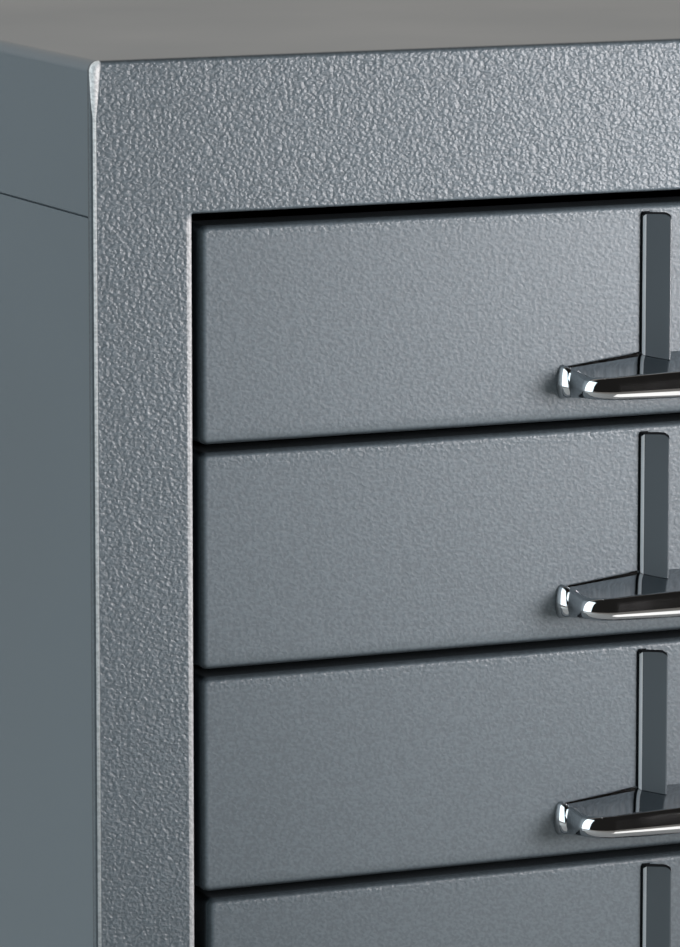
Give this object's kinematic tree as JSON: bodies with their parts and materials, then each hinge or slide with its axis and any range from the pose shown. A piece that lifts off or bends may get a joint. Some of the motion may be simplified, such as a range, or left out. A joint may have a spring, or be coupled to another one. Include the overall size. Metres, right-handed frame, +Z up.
{
  "type": "drawer cabinet",
  "caption": "Small sheet-steel desktop cabinet with flush drawers, chrome finger pulls and card rails.",
  "frame": {"origin": "middle of the whole object's footprint, pulls included, on the surface that it stands on", "axes": "+Z up, -Y out of the drawer fronts, +X to the right seen from the front"},
  "size_m": [0.34, 0.3936, 0.329],
  "materials": {
    "textured_paint": "blue-grey leather-texture powder coat",
    "case_paint": "smooth grey powder coat",
    "drawer_paint": "blue-grey fine-texture powder coat",
    "card_rail_paint": "smooth dark grey enamel",
    "chrome": "mirror-polished chrome plate",
    "zinc": "bright zinc plate",
    "galvanised": "galvanised sheet",
    "nylon": "natural nylon",
    "rubber": "black rubber"
  },
  "bodies": {
    "cabinet": {"front_frame": "textured_paint", "top_cap": "case_paint", "side_panel_left": "case_paint", "side_panel_right": "case_paint", "back_panel": "case_paint", "back_panel_screws": "zinc", "base_pan": "case_paint", "feet": "rubber", "foot_screws": "zinc", "runner_posts_left": "galvanised", "runner_rails_left": "galvanised", "runner_pads_left": "nylon", "runner_posts_right": "galvanised", "runner_rails_right": "galvanised", "runner_pads_right": "nylon"},
    "drawer_1": {"drawer_1_tray": "drawer_paint", "drawer_1_front": "drawer_paint", "drawer_1_card_rails": "card_rail_paint", "drawer_1_pull": "chrome", "drawer_1_pull_screws": "zinc", "drawer_1_glides": "nylon"},
    "drawer_2": {"drawer_2_tray": "drawer_paint", "drawer_2_front": "drawer_paint", "drawer_2_card_rails": "card_rail_paint", "drawer_2_pull": "chrome", "drawer_2_pull_screws": "zinc", "drawer_2_glides": "nylon"},
    "drawer_3": {"drawer_3_tray": "drawer_paint", "drawer_3_front": "drawer_paint", "drawer_3_card_rails": "card_rail_paint", "drawer_3_pull": "chrome", "drawer_3_pull_screws": "zinc", "drawer_3_glides": "nylon"},
    "drawer_4": {"drawer_4_tray": "drawer_paint", "drawer_4_front": "drawer_paint", "drawer_4_card_rails": "card_rail_paint", "drawer_4_pull": "chrome", "drawer_4_pull_screws": "zinc", "drawer_4_glides": "nylon"},
    "drawer_5": {"drawer_5_tray": "drawer_paint", "drawer_5_front": "drawer_paint", "drawer_5_card_rails": "card_rail_paint", "drawer_5_pull": "chrome", "drawer_5_pull_screws": "zinc", "drawer_5_glides": "nylon"}
  },
  "joints": [
    {"name": "drawer_1_slide", "type": "slide", "parent": "cabinet", "child": "drawer_1", "axis": [0, -1, 0], "range_m": [0, 0.2915]},
    {"name": "drawer_2_slide", "type": "slide", "parent": "cabinet", "child": "drawer_2", "axis": [0, -1, 0], "range_m": [0, 0.2915]},
    {"name": "drawer_3_slide", "type": "slide", "parent": "cabinet", "child": "drawer_3", "axis": [0, -1, 0], "range_m": [0, 0.2915]},
    {"name": "drawer_4_slide", "type": "slide", "parent": "cabinet", "child": "drawer_4", "axis": [0, -1, 0], "range_m": [0, 0.2915]},
    {"name": "drawer_5_slide", "type": "slide", "parent": "cabinet", "child": "drawer_5", "axis": [0, -1, 0], "range_m": [0, 0.2915]}
  ]
}
